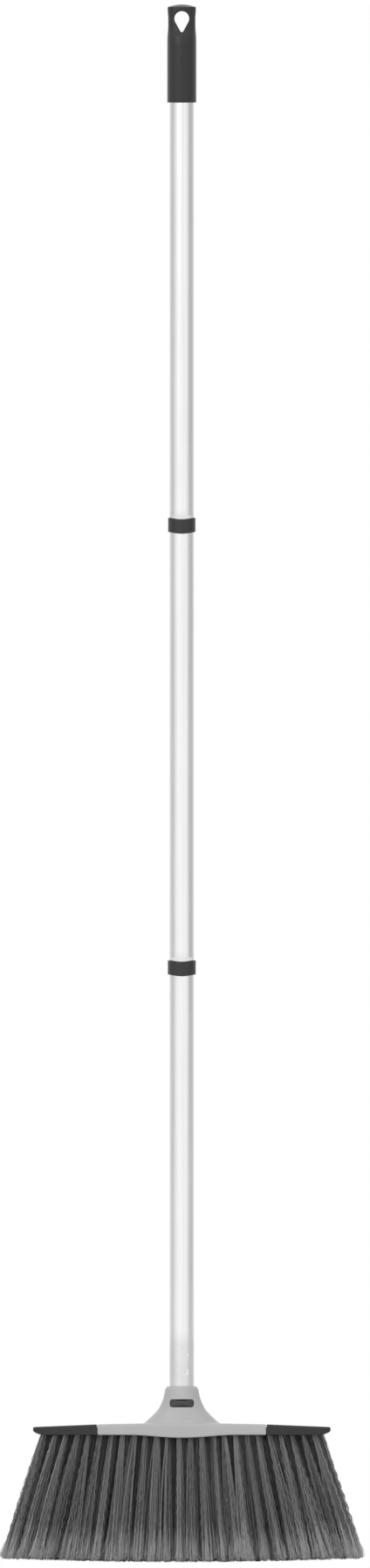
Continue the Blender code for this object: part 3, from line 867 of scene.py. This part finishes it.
def disc(count):
    """Points spread evenly over a unit disc, in a random order."""
    k = np.arange(count) + 0.5
    radius, angle = np.sqrt(k / count), k * GOLDEN_ANGLE
    points = np.stack([radius * np.cos(angle), radius * np.sin(angle)], 1)
    return points[RNG.permutation(count)]


def each_lock(values):
    """A value of each lock, handed to its filaments."""
    return np.repeat(values, PER_LOCK, axis=0)


def smooth_step(share):
    return share * share * (3 - 2 * share)


def strands(paths, radii, strand, tip):
    """Three-sided filaments along paths (n, steps, 3): vertices, quads, end faces and values."""
    n, steps, _ = paths.shape
    along = np.gradient(paths, axis=1)
    along /= np.linalg.norm(along, axis=2, keepdims=True)
    side = np.cross(along, np.array((0.0, 1.0, 0.0)))
    side /= np.linalg.norm(side, axis=2, keepdims=True)
    up = np.cross(along, side)
    turn = RNG.uniform(0, TURN, n)[:, None, None]
    corners = []
    for k in range(3):
        angle = turn + TURN * k / 3
        corners.append(paths + radii[..., None] * (np.cos(angle) * side + np.sin(angle) * up))
    verts = np.stack(corners, axis=2).reshape(-1, 3)
    start = (np.arange(n) * steps * 3)[:, None]
    level = start[..., None] + (np.arange(steps - 1) * 3)[None, :, None]
    k = np.arange(3)[None, None, :]
    a, b = level + k, level + (k + 1) % 3
    quads = np.stack([a, b, b + 3, a + 3], axis=-1).reshape(-1, 4)
    first = start + np.array((2, 1, 0))
    last = start + (steps - 1) * 3 + np.array((0, 1, 2))
    own = np.repeat(strand, steps * 3)
    pale = np.repeat(tip.reshape(-1), 3)
    return verts, quads, np.concatenate([first, last]), own, pale


def filament_mesh(name, parts):
    """One mesh from several sets of strands, with their values as attributes."""
    verts = np.concatenate([p[0] for p in parts])
    offsets = np.cumsum([0] + [len(p[0]) for p in parts[:-1]])
    quads = np.concatenate([p[1] + o for p, o in zip(parts, offsets)])
    ends = np.concatenate([p[2] + o for p, o in zip(parts, offsets)])
    mesh = bpy.data.meshes.new(name)
    mesh.vertices.add(len(verts))
    mesh.vertices.foreach_set("co", verts.astype(np.float32).ravel())
    corners = np.concatenate([quads.ravel(), ends.ravel()])
    mesh.loops.add(len(corners))
    mesh.loops.foreach_set("vertex_index", corners.astype(np.int32))
    starts = np.concatenate([np.arange(len(quads)) * 4, quads.size + np.arange(len(ends)) * 3])
    mesh.polygons.add(len(starts))
    mesh.polygons.foreach_set("loop_start", starts.astype(np.int32))
    mesh.update(calc_edges=True)
    mesh.shade_smooth()
    for k, label in ((3, "strand"), (4, "tip")):
        values = np.concatenate([p[k] for p in parts])
        attribute = mesh.attributes.new(label, "FLOAT", "POINT")
        attribute.data.foreach_set("value", values.astype(np.float32))
    return mesh


def tuft_ends(node):
    """Where each tuft of a CAD line begins and ends, and the feet's range in y."""
    co = np.array([v.co[:] for v in frame["nodes"][node].data.vertices])
    top = co[co[:, 2] > co[:, 2].max() - 0.5 * MM]
    foot = co[co[:, 2] < co[:, 2].min() + 0.2 * MM]
    top = top[np.argsort(top[:, 1])]
    roots = [group.mean(axis=0) for group in np.array_split(top, ROWS)]
    low, high = foot[:, 1].min(), foot[:, 1].max()
    cell = (high - low) / ROWS
    feet = []
    for row in range(ROWS):
        middle = low + cell * (row + 0.5)
        pair = foot[abs(foot[:, 1] - middle) < 0.2 * cell]
        feet.append(np.array((pair[:, 0].mean(), middle, foot[0, 2])))
    return roots, feet, (low, high)


def loose_share(x):
    """How loosely the locks hang: tidy at the middle of the head, crossing each other at its ends."""
    return 0.18 + 0.82 * smooth_step(clamped((abs(x) - 25 * MM) / (75 * MM)))


def filament_spots(cell, loose):
    """Where a tuft's filaments start and end, in x and y from its root and its foot."""
    shape = (LOCKS * PER_LOCK, 2)
    at_root = disc(LOCKS) * 0.66
    at_tip = (1 - loose) * at_root + loose * disc(LOCKS) * 0.66
    at_tip /= math.hypot(1 - loose, loose)
    in_lock = np.concatenate([disc(PER_LOCK) for _ in range(LOCKS)])
    start = (each_lock(at_root) + in_lock * 0.36) * TUFT_ROOT + RNG.normal(0, 0.22, shape) * MM
    reach = np.array((TIP_HALF_WIDTH, 0.85 * cell))
    end = (each_lock(at_tip) + in_lock * 0.38) * reach + RNG.normal(0, 1.2, shape) * MM
    tuft_drift = RNG.normal(0, 1.0, 2) * MM
    end += tuft_drift + each_lock(RNG.normal(0, 1.4 + 1.5 * loose, (LOCKS, 2))) * MM
    return start, end


def hold_tips(end, root, foot, limits):
    """Keeps tips within the bristles' depth, and those of the outer lines by the head's ends."""
    low, high = limits
    end[:, 1] = np.clip(end[:, 1], low + TIP_MARGIN - foot[1], high - TIP_MARGIN - foot[1])
    if abs(root[0]) > OUTER_LINES:
        out = math.copysign(1.0, root[0])
        over = np.maximum(end[:, 0] * out - OUTER_REACH, 0.0)
        end[:, 0] -= 0.8 * out * over


def crimp(path, t, loose):
    """Gives every lock its own wave, which its filaments nearly share."""
    per_lock = (LOCKS, 1, 1)
    wave_length = each_lock(RNG.uniform(9.0, 12.0, per_lock)) * MM
    phase = each_lock(RNG.uniform(0, TURN, per_lock)) + RNG.normal(0, 0.5, (len(path), 1, 1))
    turn = TURN * path[..., 2:3] / wave_length + phase
    swing = each_lock(RNG.uniform(0.4, 0.95, per_lock)) * (0.3 + 0.7 * loose) * MM
    swing = swing * np.minimum(1.0, t * 4)
    heading = each_lock(RNG.uniform(0, TURN, per_lock))
    path[..., 0:1] += swing * np.sin(turn) * np.cos(heading)
    path[..., 1:2] += swing * np.sin(turn) * np.sin(heading)


def tuft_paths(root, foot, limits, loose, burst):
    """Crimped filaments of one tuft, in locks: their paths, split lengths and greys."""
    n = LOCKS * PER_LOCK
    t = np.linspace(0, 1, STEPS)[None, :, None]
    start, end = filament_spots((limits[1] - limits[0]) / ROWS, loose)
    hold_tips(end, root, foot, limits)
    opening = 1 - (1 - t) ** 1.3
    short_by = np.abs(RNG.normal(0, 1.4, n)) + each_lock(np.abs(RNG.normal(0, 1.7, LOCKS)))
    path = root + (foot - root) * t + np.zeros((n, 1, 1))
    flare = 1 + burst * (1 - np.exp(-t / 0.03))
    path[..., :2] += start[:, None] * flare * (1 - opening) + end[:, None] * opening
    path[..., 2] += (short_by * MM)[:, None] * t[..., 0]
    bow = RNG.normal(0, 0.6, (n, 1, 2)) + each_lock(RNG.normal(0, 0.6, (LOCKS, 1, 2)))
    path[..., :2] += bow * MM * np.sin(math.pi * t)
    crimp(path, t, loose)
    path[..., 2] = np.maximum(path[..., 2], 0.3 * MM)
    shares = each_lock(RNG.uniform(0.65, 1.2, LOCKS)) + RNG.normal(0, 0.12, n)
    split = SPLIT_LENGTH * np.clip(shares, 0.4, 1.4)
    grey = each_lock(RNG.normal(0, 0.2 + 0.08 * loose, LOCKS)) + RNG.normal(0, 0.1, n)
    return path, split, grey


def split_tail(path, split, tuft_length, own, limits):
    """A fine tail that leaves each filament near its tip."""
    n = len(path)
    t = np.linspace(0, 1, TAIL_STEPS)[None, :]
    length = RNG.uniform(0.5, 1.0, n)[:, None] * split[:, None]
    place = (1 - length / tuft_length * (1 - t)) * (STEPS - 1)
    at = np.minimum(place.astype(int), STEPS - 2)
    mix = (place - at)[..., None]
    take = np.arange(n)[:, None]
    tail = path[take, at] * (1 - mix) + path[take, at + 1] * mix
    tail[..., :2] += RNG.normal(0, 1.35, (n, 1, 2)) * MM * (t[..., None] ** 1.4)
    tail[..., 1] = np.clip(tail[..., 1], *limits)
    tail[..., 2] += RNG.uniform(0, 2.4, (n, 1)) * MM * t
    shade = np.clip(own + 0.12 + RNG.normal(0, 0.15, n), 0, 1)
    radii = np.full(tail.shape[:2], SPLIT_R)
    return strands(tail, radii, shade, 0.5 + 0.5 * t + np.zeros((n, 1)))


def tuft_line(node, mat):
    """One front-to-back line of tufts as crimped filaments with split tips."""
    roots, feet, limits = tuft_ends(node)
    parts = []
    for root, foot, row_grey_and_shade, burst in zip(roots, feet, ROW_GREY_AND_SHADE, ROW_BURST):
        path, split, grey = tuft_paths(root, foot, limits, loose_share(root[0]), burst)
        # own carries the row's grey, with painted shade on the inner rows, plus a random tone for each
        # tuft and lock
        own = np.clip(row_grey_and_shade + RNG.normal(0, 0.1) + grey, 0, 1)
        above_tip = path[..., 2] - path[:, -1:, 2]
        pale = smooth_step(np.clip(1 - above_tip / split[:, None], 0, 1))
        parts.append(strands(path, FILAMENT_R * (1 - 0.3 * pale), own, pale))
        for _ in range(TAILS):
            parts.append(split_tail(path, split, root[2] - foot[2], own, limits))
    name = node.replace("tuft_line", "bristles")
    mesh = filament_mesh(name, parts)
    mesh.materials.append(mat)
    obj = scene_link(bpy.data.objects.new(name, mesh))
    settle(obj, "head", (node,))


def block():
    """The bristle block stays its CAD solid and only takes a material."""
    node = frame["nodes"]["bristle_block"]
    node.data.materials.clear()
    node.data.materials.append(moulded("block_plastic", 0.012, 0.6))


# ---------------------------------------------------------------- build

tube("lower_tube", "lower_section", crimped=True)
tube("middle_tube", "middle_section")
tube("upper_tube", "upper_section")
collar("lower_collar", "lower_section", "lower_tube")
collar("upper_collar", "middle_section", "middle_tube")
plug("lower_plug", "lower_thread")
plug("middle_plug", "middle_thread")
plug("upper_plug", "upper_thread")
grip("end_grip", "upper_section")
shell()
badge()
bumper("left_bumper", -1)
bumper("right_bumper", 1)
filament = bristle_material()
for line in sorted(name for name in frame["nodes"] if name.startswith("tuft_line")):
    tuft_line(line, filament)
block()


# ---------------------------------------------------------------- studio


def floor():
    """A wide sheet of white paper."""
    half, count = 6.0, 24
    steps = np.linspace(-half, half, count)
    verts = [(x, y, 0.0) for y in steps for x in steps]
    mesh = bpy.data.meshes.new("floor")
    mesh.from_pydata(verts, [], grid_faces(count, count, closed_columns=False))
    m = Material("floor_paper", 0.86, 0.8)
    m.colour(m.ramp(m.noise(3, 3), ((0.3, 0.85), (0.7, 0.88))))
    mesh.materials.append(m.mat)
    scene_link(bpy.data.objects.new("floor", mesh))


# degrees from the front, positive to the right, and the cove's brightness there
COVE = (
    (-180, 0.95), (-152, 0.85), (-128, 0.72), (-105, 0.58), (-85, 0.58), (-65, 0.8), (-42, 0.97),
    (-18, 1.03), (0, 0.97), (18, 0.92), (36, 0.98), (50, 0.88), (64, 0.68), (82, 0.5), (104, 0.5),
    (124, 0.62), (146, 0.76), (166, 0.95), (180, 0.95),
)


def world():
    """A white cove, brighter above, with a soft grey strip at each side that the metal mirrors."""
    made = bpy.data.worlds.new("studio")
    bpy.context.scene.world = made
    made.use_nodes = True
    w = Nodes(made.node_tree)
    mirrored = w.tree.nodes["Background"]
    where = w.add("ShaderNodeSeparateXYZ")
    w.link(w.add("ShaderNodeTexCoord").outputs["Generated"], where.inputs[0])
    backwards = w.math("MULTIPLY", where.outputs["Y"], -1)
    angle = w.math("ARCTAN2", where.outputs["X"], backwards)
    round_share = w.mapped(angle, -math.pi, math.pi, 0.0, 1.0)
    around = w.ramp(round_share, [((degrees + 180) / 360, grey) for degrees, grey in COVE])
    above = w.mapped(where.outputs["Z"], 0.0, 0.9, 1.0, 1.5)
    w.link(w.math("MULTIPLY", around, above), mirrored.inputs["Strength"])
    seen = w.add("ShaderNodeBackground")
    pick = w.add("ShaderNodeMixShader")
    w.link(w.add("ShaderNodeLightPath").outputs["Is Camera Ray"], pick.inputs[0])
    w.link(mirrored.outputs[0], pick.inputs[1])
    w.link(seen.outputs[0], pick.inputs[2])
    w.link(pick.outputs[0], w.tree.nodes["World Output"].inputs["Surface"])
    mirrored.inputs["Color"].default_value = grey_colour(1.0)
    seen.inputs["Color"].default_value = grey_colour(1.0)


def area_light(name, place, aim, size, power):
    data = bpy.data.lights.new(name, "AREA")
    data.shape = "RECTANGLE"
    data.size, data.size_y = size
    data.energy = power
    obj = scene_link(bpy.data.objects.new(name, data))
    obj.location = place
    direction = Vector(aim) - Vector(place)
    obj.rotation_euler = direction.to_track_quat("-Z", "Y").to_euler()


def camera():
    """Level and square to the front, without perspective, a little taller than the broom."""
    view_height, aim_x, aim_z = 1.4117, 0.0029, 0.7011
    data = bpy.data.cameras.new("camera")
    data.type = "ORTHO"
    data.ortho_scale = view_height
    data.clip_end = 20
    obj = scene_link(bpy.data.objects.new("camera", data))
    obj.location = (aim_x, -4.0, aim_z)
    obj.rotation_euler = (math.pi / 2, 0, 0)
    bpy.context.scene.camera = obj


floor()
world()
area_light("key", place=(-0.9, -1.6, 1.9), aim=(0, 0, 0.3), size=(1.2, 1.2), power=6)
camera()
bpy.context.scene.view_settings.view_transform = "Standard"
